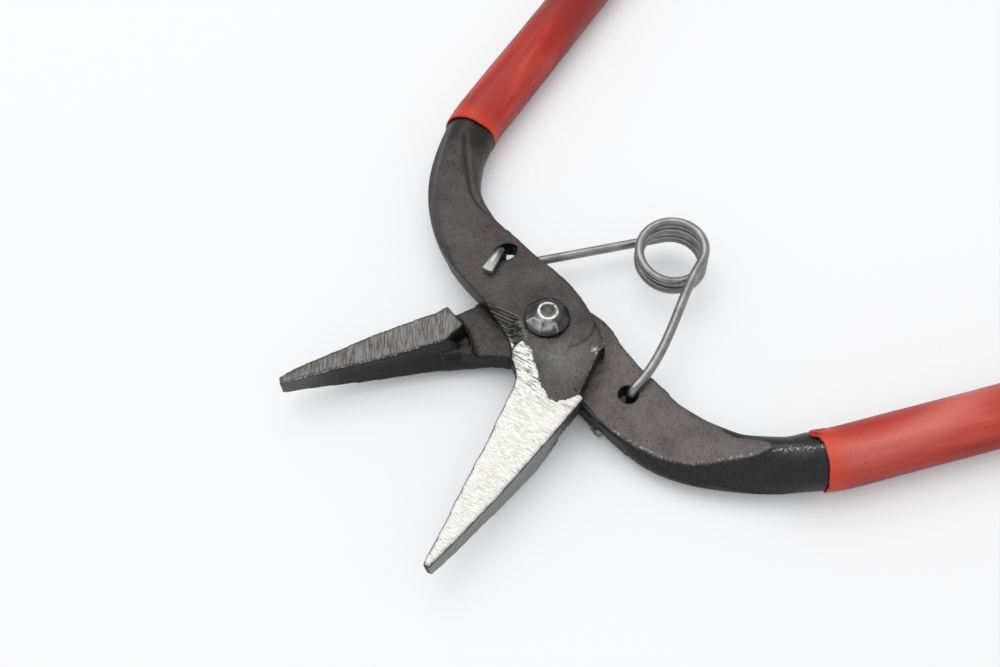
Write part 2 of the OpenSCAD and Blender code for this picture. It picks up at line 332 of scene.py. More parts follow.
def scaleColour(tree, settings, patch, fine, pits):
    # scale left by forging: brown grey, with reddish and pale patches
    c = steelColours
    cloud = tree.noise(2.2, 4, 0.6, tree.mapped(10, (1, 1, 1), (0.03, 0, 0)))
    red = tree.noise(6, 4, 0.6, tree.mapped(30, (1, 1, 1), (0.02, 0.05, 0)))
    red = tree.times(tree.spread(red, 0.5, 0.72, soft=True), settings["redShare"])
    pale = tree.times(tree.mask("pale"), tree.spread(fine, 0.2, 0.75, 0.55, 1))
    pale = tree.times(pale, tree.spread(tree.plus(cloud, patch), 0.8, 1.15, 0.5, 1))
    base = tree.paint(tree.spread(patch, 0.36, 0.64), c["scaleDark"], c["scaleLight"])
    base = tree.paint(tree.spread(cloud, 0.35, 0.7, 0, 0.55), base, c["cloud"])
    base = tree.paint(red, base, c["red"])
    base = tree.paint(tree.spread(fine, 0.35, 0.8), base, c["speck"])
    base = tree.paint(pale, base, settings["paleColour"])
    return tree.paint(tree.times(pits, 0.6), base, c["pit"])


def filedColour(tree, base, scratch):
    # brush marks on the flat of the handle, and file scratches beside the pivot
    c = steelColours
    brush = tree.noise(1, 3, 0.6, tree.mapped(56, (0.25, 2.2, 1)))
    brushed = tree.times(tree.mask("brushed"), tree.spread(brush, 0.42, 0.62))
    scratched = tree.times(tree.mask("scratched"), tree.spread(scratch, 0.5, 0.6))
    gouged = tree.times(tree.mask("scratched"), tree.spread(scratch, 0.45, 0.39))
    base = tree.paint(tree.times(brushed, 0.4), base, c["brushed"])
    base = tree.paint(tree.times(scratched, 0.9), base, c["scratch"])
    return tree.paint(tree.times(gouged, 0.45), base, c["gouge"])


def groundColourWithLight(tree, settings, marks, deepMark):
    # a ground face, with the marks of a file across the jaw; its brightness is painted light, bright on the
    # upper jaw where it catches the light and dark on the lower jaw
    bright = settings["groundColourWithLight"]
    dull = dimmed(bright, settings["markShade"])
    bright = tree.paint(tree.spread(marks, *settings["markEdge"]), dull, bright)
    return tree.paint(tree.times(deepMark, 0.8), bright, steelColours["deepMark"])


def forgedSteel(name, settings):
    tree = NodeTree(name)
    c = steelColours
    patch = tree.noise(7, 5, 0.6)
    fine = tree.noise(0.6, 5, 0.7)
    pits = tree.spread(tree.noise(0.3, 2, 0.5), 0.64, 0.72)
    scratch = tree.noise(1, 3, 0.6, tree.mapped(-70, (0.12, 3.6, 1), (0.2, 0, 0)))
    base = scaleColour(tree, settings, patch, fine, pits)
    base = filedColour(tree, base, scratch)
    # black smooth shank
    shank = tree.plus(tree.mask("shank"), tree.spread(patch, 0.2, 0.8, -0.2, 0.2))
    shank = tree.spread(shank, 0.25, 0.85, soft=True)
    black = settings["shankColour"]
    black = tree.paint(tree.spread(fine, 0.3, 0.8), black, dimmed(black, 1.9))
    base = tree.paint(shank, base, black)
    # plain grey walls of a jaw, a scribed line, and a band of painted shade
    wall = tree.paint(tree.spread(fine, 0.3, 0.7), c["wallDark"], c["wallLight"])
    base = tree.paint(tree.mask("wall"), base, wall)
    base = tree.paint(tree.mask("scribedLineAndShade"), base, c["scribedLineAndShade"])
    # worn edges, with a painted highlight along the top of the lower lever's round shank and on the upper
    # lever's filed heel
    wearAndHighlight = tree.plus(tree.noise(0.5, 4, 0.7), tree.times(tree.mask("wearAndHighlight"), 0.2))
    wearAndHighlight = tree.times(tree.mask("wearAndHighlight"), tree.spread(wearAndHighlight, 0.6, 0.68))
    base = tree.paint(wearAndHighlight, base, c["wearAndHighlight"])
    # ground faces, with a ragged border
    ragged = tree.spread(tree.noise(1.1, 5, 0.75), 0.25, 0.75, -0.8, 0.8)
    ground = tree.spread(tree.plus(tree.mask("ground"), ragged), -0.05, 0.12)
    marks = tree.noise(1, 4, 0.65, tree.mapped(settings["markTurn"], (*settings["markFine"], 1)))
    deep = tree.noise(1, 2, 0.5, tree.mapped(settings["deepTurn"], (0.55, 3.2, 1), (0.3, 0.1, 0)))
    deepMark = tree.times(tree.spread(deep, 0.56, 0.64), tree.mask("gouged"))
    base = tree.paint(ground, base, groundColourWithLight(tree, settings, marks, deepMark))
    rough = tree.spread(fine, 0.3, 0.7, 0.42, 0.6)
    rough = tree.blendNumber(shank, rough, 0.38)
    rough = tree.blendNumber(ground, rough, 0.38)
    # pitted scale, smoother on the shank, grooved where it is filed
    height = tree.plus(fine, tree.times(pits, -0.5))
    height = tree.plus(height, tree.times(tree.times(tree.mask("scratched"), scratch), 2))
    height = tree.plus(height, tree.times(tree.noise(1.1, 3, 0.6), 1.6))
    height = tree.blendNumber(shank, height, tree.times(fine, 0.4))
    grooves = tree.plus(tree.times(marks, 0.8), tree.times(deepMark, -0.8))
    height = tree.blendNumber(ground, height, grooves)
    normal = tree.bump(height, 0.8, 0.16 * millimetre)
    return tree.finish(Base_Color=base, Metallic=0.9, Roughness=rough, Normal=normal)


def rivetSteel(name):
    tree = NodeTree(name)
    fine = tree.noise(0.7, 5, 0.65)
    dull = tree.spread(tree.noise(2.5, 4), 0.35, 0.65)
    litSideHighlight = tree.times(tree.mask("litSideHighlight"), tree.spread(tree.noise(1.6, 4), 0.35, 0.6))
    wearAndHighlight = tree.times(tree.mask("wearAndHighlight"), tree.spread(fine, 0.3, 0.5))
    base = tree.paint(dull, (0.035, 0.033, 0.033), (0.11, 0.107, 0.104))
    # painted highlight: the rivet's side towards the light is painted pale
    base = tree.paint(litSideHighlight, base, (0.5, 0.49, 0.47))
    # a worn ring on the top flat, and ridges carrying the painted highlight of the lit side
    base = tree.paint(wearAndHighlight, base, (0.78, 0.77, 0.75))
    # nearly black at the foot of the head and below it, where the rivet sits on the lever
    base = tree.paint(tree.mask("darkFoot"), base, (0.012, 0.011, 0.011))
    rough = tree.spread(fine, 0.3, 0.7, 0.26, 0.42)
    normal = tree.bump(fine, 0.35, 0.08 * millimetre)
    return tree.finish(Base_Color=base, Metallic=0.95, Roughness=rough, Normal=normal)


def springWire(name):
    tree = NodeTree(name)
    fine = tree.noise(0.5, 4, 0.6)
    dull = tree.spread(tree.noise(3, 4, 0.6), 0.35, 0.7)
    base = tree.paint(dull, (0.36, 0.355, 0.35), (0.2, 0.195, 0.19))
    base = tree.paint(tree.times(tree.mask("grime"), 0.75), base, (0.07, 0.067, 0.065))
    base = tree.paint(tree.mask("cut"), base, (0.8, 0.79, 0.77))
    rough = tree.spread(fine, 0.3, 0.7, 0.28, 0.42)
    normal = tree.bump(fine, 0.25, 0.04 * millimetre)
    return tree.finish(Base_Color=base, Metallic=1, Roughness=rough, Normal=normal)


redColours = {
    "deep": (0.36, 0.013, 0.006),
    "clean": (0.54, 0.032, 0.016),
    "smear": (0.66, 0.12, 0.08),
    "blotch": (0.17, 0.009, 0.006),
    "paintedHighlight": (0.8, 0.24, 0.2),
    "under": (0.16, 0.012, 0.01),
    "speck": (0.03, 0.01, 0.01),
    "lip": (0.7, 0.06, 0.016),
    "crack": (0.03, 0.008, 0.006),
}


def dippedRed(name, turn, litBandShare):
    tree = NodeTree(name)
    c = redColours
    smear = tree.noise(5, 4, 0.55, tree.mapped(turn, (0.14, 1, 1)), 0.6)
    blotch = tree.noise(6, 5, 0.6, tree.mapped(turn, (0.6, 1, 1), (0.1, 0.03, 0)))
    base = tree.paint(tree.spread(smear, 0.35, 0.7), c["deep"], c["clean"])
    base = tree.paint(tree.times(tree.spread(smear, 0.58, 0.72), 0.5), base, c["smear"])
    base = tree.paint(tree.times(tree.spread(blotch, 0.56, 0.75), 0.5), base, c["blotch"])
    # painted highlight: the lit upper side is painted pale, broken up by the smears
    litPale = tree.spread(smear, 0.3, 0.65, litBandShare * 0.4, litBandShare)
    base = tree.paint(tree.times(tree.mask("litBand"), litPale), base, c["paintedHighlight"])
    # painted shade: the underside is painted darker
    base = tree.paint(tree.times(tree.mask("under"), 0.6), base, c["under"])
    specks = tree.spread(tree.noise(0.5, 2, 0.5), 0.7, 0.74)
    base = tree.paint(tree.times(specks, 0.8), base, c["speck"])
    base = tree.paint(tree.spread(tree.mask("lip"), 0, 5, 0.6, 0, soft=True), base, c["lip"])
    base = tree.paint(tree.mask("crack"), base, c["crack"])
    rough = tree.spread(blotch, 0.3, 0.7, 0.3, 0.5)
    wave = tree.plus(smear, tree.times(tree.noise(0.9, 3), 0.18))
    tree.finish(Specular_IOR_Level=0.28, Coat_Weight=0.08, Coat_Roughness=0.2)
    return tree.finish(Base_Color=base, Roughness=rough, Normal=tree.bump(wave, 0.35, 0.4 * millimetre))


# the camera comes first, because the pieces are compared through it
cameraSettings = {
    "place": (-0.0731366, -0.0824415, 0.181712),
    "turn": 0.920767450,
    "pitch": 1.01223284,
    "roll": -0.0639514,
    "focalPixels": 1174.77925,
    "frameWidth": 1000,
    "sensorWidth": 36,
}


def addCamera(settings):
    turn, pitch, roll = settings["turn"], settings["pitch"], settings["roll"]
    flat = math.cos(pitch)
    ahead = Vector((flat * math.cos(turn), flat * math.sin(turn), -math.sin(pitch)))
    level = Vector((math.sin(turn), -math.cos(turn), 0))
    upright = level.cross(ahead)
    right = level * math.cos(roll) + upright * math.sin(roll)
    up = upright * math.cos(roll) - level * math.sin(roll)
    data = bpy.data.cameras.new("photoCamera")
    data.sensor_width = settings["sensorWidth"]
    data.lens = settings["focalPixels"] / settings["frameWidth"] * settings["sensorWidth"]
    data.clip_start = 0.01
    data.clip_end = 10
    camera = placed("photoCamera", data)
    turned = Matrix((right, up, -ahead)).transposed().to_4x4()
    camera.matrix_world = Matrix.Translation(settings["place"]) @ turned
    scene.camera = camera


addCamera(cameraSettings)

studio = {
    "skyColour": (0.97, 0.985, 1, 1),
    "skyStrength": 0.74,
    "boxPlace": (0.12, 0.42, 0.95),
    "boxAim": (0.01, -0.01, 0),
    "boxSize": 0.9,
    "boxPower": 4.2,
    "floorSize": 3,
    "floorColour": (0.91, 0.92, 0.93, 1),
    "glowShare": 0.5,
    "glowReach": 0.012,
}


def addLight(settings):
    world = bpy.data.worlds.new("paleRoom")
    world.use_nodes = True
    background = world.node_tree.nodes["Background"]
    background.inputs["Color"].default_value = settings["skyColour"]
    background.inputs["Strength"].default_value = settings["skyStrength"]
    scene.world = world
    data = bpy.data.lights.new("softBox", "AREA")
    data.shape = "SQUARE"
    data.size = settings["boxSize"]
    data.energy = settings["boxPower"]
    box = placed("softBox", data)
    box.location = settings["boxPlace"]
    box.rotation_mode = "QUATERNION"
    box.rotation_quaternion = (Vector(settings["boxAim"]) - box.location).to_track_quat("-Z", "Y")


def addFloor(settings):
    bm = bmesh.new()
    bmesh.ops.create_grid(bm, x_segments=1, y_segments=1, size=settings["floorSize"])
    floor = placed("floor", meshFrom(bm, "floor"))
    tree = NodeTree("paleTable")
    tree.finish(Base_Color=settings["floorColour"], Roughness=0.5, Specular_IOR_Level=0.2)
    # seen straight on the table is half lit by itself, so that the shadow stays pale
    seen = addNode(tree.nodes, "LightPath").outputs["Is Camera Ray"]
    openSky = addNode(tree.nodes, "AmbientOcclusion", {"Distance": settings["glowReach"]}, samples=8)
    seen = tree.times(seen, tree.spread(openSky.outputs["AO"], 0.15, 0.85))
    glow = addNode(tree.nodes, "Emission", {"Color": (1, 1, 1, 1), "Strength": 1})
    both = addNode(tree.nodes, "MixShader")
    tree.put(tree.times(seen, settings["glowShare"]), both.inputs[0])
    tree.links.new(tree.shader.outputs[0], both.inputs[1])
    tree.links.new(glow.outputs[0], both.inputs[2])
    tree.links.new(both.outputs[0], tree.nodes["Material Output"].inputs["Surface"])
    floor.data.materials.append(tree.material)


addLight(studio)
addFloor(studio)
print("camera, light and floor made")

# what both levers share
forging = {
    "voxel": 0.3,
    "rounds": 3,
    "grainSize": 5.5,
    "grainDepth": 0.07,
    "lapHeight": 5.9,
    "masks": ("ground", "wearAndHighlight", "shank", "brushed", "scratched", "wall", "pale", "scribedLineAndShade", "gouged"),
}


def forgedCopy(nodeName):
    # the node's own form as one even skin, with its edges eased as by a drop hammer
    bm = loaded(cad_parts[nodeName].data)
    bmesh.ops.remove_doubles(bm, verts=bm.verts, dist=0.002 * millimetre)
    bmesh.ops.scale(bm, vec=[1 / millimetre] * 3, verts=bm.verts)
    bm = loaded(remeshed(meshFrom(bm, nodeName + "Rough"), forging["voxel"]))
    smoothed(bm, forging["rounds"])
    return bm


def forgeLever(name, nodeName, body, moveOf, masksOf, steel):
    bm = forgedCopy(nodeName)
    for vert in bm.verts:
        vert.co += moveOf(vert.co.copy(), vert.normal)
    bm.normal_update()
    values = {mask: [] for mask in forging["masks"]}
    for vert in bm.verts:
        masks = masksOf(vert.co, vert.normal)
        for mask, numbers in values.items():
            numbers.append(masks.get(mask, 0))
    addPiece(name, finishedMesh(bm, name, values), steel, body, [nodeName])


def hammered(point, normal, seed):
    return normal * forging["grainDepth"] * grain(point, forging["grainSize"], seed)


# tables of the bend go by degrees round it, tables of the jaw by millimetres along it
upperLever = {
    "tongueEdge": [(18, 29.6), (24, 30.2), (30, 31.5), (36.6, 32.6), (42.5, 32.9), (52, 33.9), (60, 35)],
    "tongueDrop": 0.8,
    "outerRim": [
        (8, 40.6), (12, 40.2), (18, 40), (24, 39.6), (30, 39.1),
        (35, 38.7), (40, 38.3), (50, 37.8), (60, 37.6),
    ],
    "rimSlope": 0.85,
    "innerPull": [
        (-34, 0), (-24, -0.4), (-12, -0.5), (-6, -0.76), (1, -1.1), (8, -1.1), (15, -0.6),
        (22, 0.05), (28, 0.35), (33, 0.65), (38, 0.75), (42.5, 0.6), (47, 0.35),
        (52, 0.2), (57, 0.15), (62, -0.3), (68, -0.45), (74, -0.3), (78, 0),
    ],
    "lean": [(12, 2.6), (16, 2.1), (21, 1.5), (27, 1.1), (34, 0.85), (40, 0.45), (46, 0.25)],
    "faceFill": [
        (15, 0), (17, 0.3), (21, 0.7), (25, 0.75), (29, 1.1),
        (33, 1.15), (37, 1.15), (41, 0.7), (44.5, 0.35), (47, 0.1),
    ],
    "backPush": [(8, 0), (12, 1), (20, 1), (27, 0.9), (34, 0.9), (40, 0.6), (45, 0.15), (48, -0.1)],
    "rootPull": [(10, -1.8), (13, -1.5), (16, -1.1), (20, -0.5), (24, 0)],
    "rootWidth": 11.3,
    "taper": 0.27,
    "tipReach": 0.9,
    # the edge between the strap and the jaw: its plan and how far it is moved out
    "edgePush": [
        (-6.4, 13.4, 0), (-5.4, 10.8, 0.3), (-5.1, 6.7, 0.9), (-5.8, 0.45, 1.2),
        (-7.95, -3.75, 1.9), (-10.25, -4.45, 0.7), (-11.9, -5.2, 0),
    ],
    "edgeAhead": (-0.797, 0.605, 0),
    # along the strap, where the filed slope starts
    "filedFrom": [(-3, -7.2), (-1.5, -6.2), (1, -4.6), (4.5, -3.2), (8, -4), (11, -4.9), (12.5, -5.6)],
    "filedSlope": 1.5,
    "filedDepth": 3.1,
    "faceHeight": 9.78,
    "hookHole": (3.69, 15.76),
    "holeWear": 0.16,
    # across the jaw, how far along it the ground face starts
    "groundFrom": [
        (-4, 5.4), (-2.6, 5.8), (-0.1, 6.7), (3.2, 10.9), (4.3, 12.5),
        (6.8, 14.1), (8, 14.4), (10.5, 12.2), (11.7, 10.6),
    ],
    "filedHeelHighlight": (1.9, -10.2, 9.6),
    "paleBoss": (-3.2, -7.2),
    "scribePlace": (2, -2),
    "scribeRadius": 5.6,
}


upperSteel = {
    "redShare": 0.5,
    "paleColour": (0.22, 0.22, 0.215),
    "shankColour": (0.03, 0.026, 0.025),
    # painted highlight: the upper jaw's ground face is painted bright, as where it catches the light
    "groundColourWithLight": (0.7, 0.685, 0.64),
    "markTurn": -70,
    "markFine": (1, 4),
    "markEdge": (0.3, 0.6),
    "markShade": 0.66,
    "deepTurn": -77,
}


def upperNeckMove(point, settings):
    r, turn = bendPlace(point, upperPlan)
    move = Vector()
    if point.x > 0 and -34 < turn < 78:
        reach = 33.5 if turn > 0 else 33.5 - 0.12 * turn
        move += bendShift(upperPlan, turn, between(settings["innerPull"], turn) * (1 - eased(r, 29, reach)))
    if turn > 10 and point.y > 10:
        # the flat ends in a tongue, and the inner side of the neck lies lower beside it
        edge = between(settings["tongueEdge"], turn)
        deep = settings["tongueDrop"] * within(turn, 18, 30, 50, 64)
        beside = (1 - eased(r, edge - 0.9, edge + 0.15)) * 0.75 + 0.4 * hump(r, edge - 0.9, 0.6)
        move.z -= deep * beside * eased(point.z, 6.5, 9.3)
        # the outer edge falls off in a wide soft bevel
        fall = max(0, r - between(settings["outerRim"], turn)) * within(turn, 8, 22, 54, 66)
        move.z -= min(2, settings["rimSlope"] * fall) * eased(point.z, 6.8, 9.4)
    return move


def upperJawMove(point, settings):
    along, across = jawPlace(point, upperPlan)
    move = Vector()
    if along > 11 and across > -3 and point.x < -6:
        # the biting face leans: its lower edge lies deeper than its upper edge
        reach = between(settings["lean"], along) * eased(along, 11, 14)
        share = min(1, max(0, (8.6 - point.z) / 5.3)) * (1 - eased(across, 0.3, 4.5))
        fill = between(settings["faceFill"], along) * eased(point.z, 4.5, 6.5)
        depth = across / (settings["rootWidth"] - settings["taper"] * (along - 12))
        push = between(settings["backPush"], along) * eased(depth, 0.3, 0.85)
        sideways = reach * 2 * share - fill * (1 - eased(depth, 0.15, 0.75)) + push
        move += jawShift(upperPlan, sideways, settings["tipReach"] * eased(along, 36, 48))
    if 10 < along < 27 and across > 3 and point.z < 6.4:
        # the lower half of the jaw grows out of the root without a step
        low = eased(across, 3, 8) * (1 - eased(point.z, 4.6, 6.4))
        move += jawShift(upperPlan, between(settings["rootPull"], along) * low)
    return move


def upperMove(point, normal):
    settings = upperLever
    move = upperNeckMove(point, settings) + upperJawMove(point, settings)
    gap, amount = nearLine(point, settings["edgePush"])
    amount *= (1 - eased(gap, 0.6, 3.2)) * eased(point.z, 5.2, 6.4)
    move += Vector(settings["edgeAhead"]) * amount
    move += widenHole(point, settings["hookHole"], settings["holeWear"])
    x, y = strapPlace(point + move, upperPlan)
    if 0 < y < 12.5 and x < 0 and point.z > 6:
        # filed off steeply along the edge beside the pivot
        deep = settings["filedSlope"] * max(0, between(settings["filedFrom"], y) - x)
        deep = min(settings["filedDepth"], deep) - (settings["faceHeight"] - point.z)
        move.z -= max(0, deep) * within(y, 0, 1.6, 10.5, 12.5)
    # uneven forging, kept off the lap
    if point.z > 6.6 or bendPlace(point, upperPlan)[1] > 22:
        move += hammered(point, normal, 1)
    return move


def upperMasks(point, normal):
    settings = upperLever
    turn = bendPlace(point, upperPlan)[1]
    along, across = jawPlace(point, upperPlan)
    x, y = strapPlace(point, upperPlan)
    facing = (normal.z - 0.8) * 14 if along > 3 and point.x < 3 else -3
    flat = eased(normal.z, 0.3, 0.8)
    side = 1 - eased(normal.z, 0.45, 0.85)
    # bright where the back edge of the root has been rubbed, and a painted highlight on the filed heel
    rim = hump(normal.z, 0.72, 0.16) if 0 < along < 12 and across > 9 else 0
    heel = hump((point - Vector(settings["filedHeelHighlight"])).length, 0, 0.8)
    limit = between(settings["filedFrom"], y)
    filed = (1 - eased(x, limit - 0.3, limit + 0.6)) * within(y, -1, 0.8, 11, 12.5)
    scratched = filed * eased(normal.z, 0.05, 0.3) * eased(point.z, 6.2, 7)
    beyond = eased(turn, 46, 66) if point.y > 12 else 0
    back = eased(normal.dot(jawShift(upperPlan, 1)), 0.1, 0.5)
    bossX, bossY = settings["paleBoss"]
    # a faint scribed arc beside the rivet
    dx, dy = point.x - settings["scribePlace"][0], point.y - settings["scribePlace"][1]
    onArc = -125 < math.degrees(math.atan2(dy, dx)) < 0 and point.z > 9
    arc = hump(math.hypot(dx, dy), settings["scribeRadius"], 0.22) if onArc else 0
    return {
        "ground": max(-3, min(2, along - between(settings["groundFrom"], across), facing)),
        "wearAndHighlight": max(rim * 0.8, heel),
        "scratched": scratched,
        "shank": max(beyond, side * (0.85 if along < 13 else 0.35) * (1 - scratched)),
        "wall": eased(along, 15, 22) * (1 - eased(normal.z, 0.2, 0.6)) * back,
        "pale": 0.95 * hump(math.hypot(point.x - bossX, point.y - bossY), 0, 4.2) * flat,
        "scribedLineAndShade": 0.75 * arc * flat,
        "gouged": 0.85 * hump(along, 9, 5) + 0.12,
    }


upperFinish = forgedSteel("upperForgedSteel", upperSteel)
forgeLever("upperForging", "upper_lever", "upper", upperMove, upperMasks, upperFinish)
print("upper lever forged")

lowerLever = {
    "leanBelow": [(12, 2.6), (16, 2.1), (21, 1.45), (27, 1.2), (34, 1), (40, 0.6), (46, 0.3)],
    "leanAbove": [(12, 0.8), (16, 0.4), (21, 0.05), (27, -0.25), (32, -0.15), (37, 0.05), (46, 0.05)],
    "backPush": [
        (12, -0.3), (16, -0.6), (18.4, -0.95), (21, -0.65), (23.6, -0.45), (27, -0.2),
        (31, 0.1), (36.5, 0.25), (41, 0.4), (44, 0.6), (47, 0.3),
    ],
    "rootWidth": 9,
    "taper": 0.215,
    "outerPush": [
        (2, 0), (4, -0.3), (9, -0.4), (14.4, 0), (19.5, 0.6), (24.5, 1), (29, 1.1),
        (33.6, 1.05), (38, 0.85), (42.5, 0.6), (47, 0.45), (51.5, 0.25), (58, 0),
    ],
    "innerPull": [
        (-40, 0), (-32, -0.8), (-24, -1.8), (-16, -2), (-8, -1.5),
        (4, -1.2), (10, -1.1), (15, -0.7), (21, 0),
    ],
    # along the corner between the two jaws, above and below
    "crotchAhead": (-0.71, -0.7, 0),
    "crotchAbove": [
        (-15, 0.3), (-14, 0.8), (-12.5, 1.5), (-11, 2), (-8.75, 2.3),
        (-6.6, 2.2), (-4.5, 1.7), (-2, 0.9), (1, 0),
    ],
    "crotchBelow": [
        (-14.5, 0), (-12.5, 0.5), (-11, 1.4), (-8.75, 2.5), (-6.6, 2.5), (-4.5, 1.9), (-2, 0.9), (1, 0),
    ],
    "faceEdge": [
        (4, 42.8), (10, 43.3), (18, 43.1), (23.5, 42.8), (31, 41.5),
        (37, 39.7), (44, 38.3), (48, 37), (60, 36),
    ],
    "faceSlope": 0.55,
    "tongueEdge": [
        (22, 26), (27, 30), (33, 33.2), (36, 34.8), (39, 35.6),
        (43, 35.6), (45.5, 35.9), (47.5, 36.4), (48.3, 37.4),
    ],
    # across the jaw, how far along it the ground face starts
    "groundFrom": [
        (0.4, 17.8), (1.1, 16.9), (1.6, 15.5), (2.6, 14.5), (3.8, 13.8),
        (4.9, 14), (5.8, 14.6), (6.5, 15.5), (7.4, 16.8),
    ],
    "shoulderRadius": 13.6,
    "shoulderTurn": 2.2,
    "shoulderFillet": 1.9,
    "filletHeight": 1.5,
    "hookHole": (1.84, -18.72),
    "holeWear": 0.12,
    # where the painted highlight runs along the top of the shank
    "shankHighlightRadius": 37.6,
}


lowerSteel = {
    "redShare": 0.6,
    "paleColour": (0.19, 0.165, 0.155),
    "shankColour": (0.03, 0.029, 0.029),
    # painted shade: the lower jaw's ground face is the same ground steel painted dark, as where it is
    # turned from the light
    "groundColourWithLight": (0.19, 0.185, 0.173),
    "markTurn": 51,
    "markFine": (0.4, 3.4),
    "markEdge": (0.36, 0.62),
    "markShade": 0.3,
    "deepTurn": 49,
}


def shoulderDistance(point, settings):
    # how far in front of the full jaw's shoulder a place on the lap face lies
    x, y = strapPlace(point, lowerPlan)
    turn = math.radians(settings["shoulderTurn"])
    wall = x * math.cos(turn) + y * math.sin(turn) + settings["shoulderRadius"] - 1
    return max(settings["shoulderRadius"] - math.hypot(x, y), wall)


def lowerNeckMove(point, settings):
    r, turn = bendPlace(point, lowerPlan)
    move = Vector()
    if point.y < -10 and turn > 6:
        # below the flat's edge the side falls away round
        fall = max(0, r - between(settings["faceEdge"], turn)) * within(turn, 8, 20, 44, 58)
        move.z -= min(1.6, settings["faceSlope"] * fall) * eased(point.z, 3.2, 5.4)
        push = between(settings["outerPush"], turn) * eased(r, 37, 41.5) * (1 - eased(point.z, 3.5, 6))
        # the neck's inner side keeps a little further out
        pull = 0.5 * (1 - eased(r, 34, 37)) * within(turn, 34, 42, 52, 58)
        move += bendShift(lowerPlan, turn, push + pull)
    if point.x > 2 and -40 < turn < 21 and point.y < 2:
        reach = 35 if turn > 0 else 35 - 0.16 * turn
        move += bendShift(lowerPlan, turn, between(settings["innerPull"], turn) * (1 - eased(r, 31, reach)))
    return move


def lowerJawMove(point, settings):
    along, across = jawPlace(point, lowerPlan)
    lap = forging["lapHeight"]
    move = Vector()
    if along > 8.5 and across > -5 and point.x < -6:
        # the biting face is a blunt edge, furthest out at half its height
        height = max(-1, min(1, (point.z - lap) / 2.8))
        if height > 0:
            reach = between(settings["leanAbove"], along) * eased(along, 11, 14)
        else:
            reach = between(settings["leanBelow"], along) * eased(along, 8.5, 15)
        depth = across / (settings["rootWidth"] - settings["taper"] * (along - 12))
        push = between(settings["backPush"], along) * eased(depth, 0.4, 0.9)
        move += jawShift(lowerPlan, reach * height * (1 - eased(across, 0.3, 4.5)) + push)
    if 11.5 < along < 19 and point.z > 6 and -2 < across < 5.4:
        # the corner of the ground face is rounded off down to the lap
        before = between(settings["groundFrom"], across) - along
        move.z -= (point.z - lap) * 0.85 * eased(before, 0, 2.6)
    distance = shoulderDistance(point, settings)
    fillet = settings["shoulderFillet"]
    if point.x < -3 and 0 < distance < fillet and 5 < point.z < 7.4 and along > 8:
        # a fillet between the lap face and the shoulder
        move.z += settings["filletHeight"] * (1 - distance / fillet) ** 2 * eased(point.z, 5, 5.6)
    return move


def crotchMove(point, settings):
    # the plate fills the corner between the two jaws
    if not (-17 < point.x < 0 and point.z < 5.95 and point.y < 9):
        return Vector()
    ahead = Vector(settings["crotchAhead"])
    s = 0.717 * point.x - 0.697 * point.y
    above, below = between(settings["crotchAbove"], s), between(settings["crotchBelow"], s)
    high = eased(point.z, 3, 5.4)
    return ahead * (above * high + below * (1 - high)) * eased(ahead.dot(point), -1, 3.4)


def lowerMove(point, normal):
    settings = lowerLever
    move = lowerNeckMove(point, settings) + lowerJawMove(point, settings) + crotchMove(point, settings)
    move += widenHole(point, settings["hookHole"], settings["holeWear"])
    turn, along = bendPlace(point, lowerPlan)[1], jawPlace(point, lowerPlan)[0]
    if point.z < 5.2 or turn > 34 or along > 15:
        move += hammered(point, normal, 2)
    return move


def lowerMasks(point, normal):
    settings = lowerLever
    r, turn = bendPlace(point, lowerPlan)
    along, across = jawPlace(point, lowerPlan)
    onJaw, onHandle = point.z > 6.5, point.y < -12
    facing = (normal.z - 0.8) * 14 if onJaw and point.x < -8 else -3
    line = along - between(settings["groundFrom"], across)
    flat = eased(normal.z, 0.5, 0.85)
    side = 1 - eased(normal.z, 0.45, 0.85)
    # the ridge between the ground face and the wall is rubbed bright
    ridge = hump(normal.z, 0.72, 0.2) * eased(along, 14, 20) * (1 - eased(across, 1, 2)) if onJaw else 0
    beyond = rim = brushed = shade = 0
    if onHandle:
        edge = between(settings["faceEdge"], turn)
        outside = max(r - edge, between(settings["tongueEdge"], turn) - r)
        beyond = max(eased(turn, 46, 50), eased(outside, -0.2, 0.8))
        rim = 0.45 * hump(r, edge, 0.4) * within(turn, 4, 12, 44, 48)
        # painted highlight: a pale streak along the top of the round shank, where it catches the light
        shankHighlight = hump(r, settings["shankHighlightRadius"], 0.6) * eased(turn, 46, 49) * eased(normal.z, 0.8, 0.95)
        rim = max(rim, 0.5 * shankHighlight)
        brushed = within(turn, 18, 30, 42, 50) * flat
    # painted shade: a dark band where the ground face is rounded down into the concave shoulder
    if point.x < -3 and point.z > forging["lapHeight"] and along > 11 and across < 8:
        shade = within(-line, 0, 0.6, 1.6, 3)
    return {
        "ground": max(-3, min(2, facing, line * 2.5)),
        "wearAndHighlight": max(ridge, rim),
        "shank": max(beyond, side),
        "brushed": brushed,
        "wall": 0.3 * eased(along, 36, 46) * side,
        "pale": 0.85 * eased(-point.y, 4, 14) * flat if beyond < 0.5 else 0,
        "scribedLineAndShade": 0.45 * shade,
        "gouged": 0.12,
    }


lowerFinish = forgedSteel("lowerForgedSteel", lowerSteel)
forgeLever("lowerForging", "lower_lever", "lower", lowerMove, lowerMasks, lowerFinish)
print("lower lever forged")

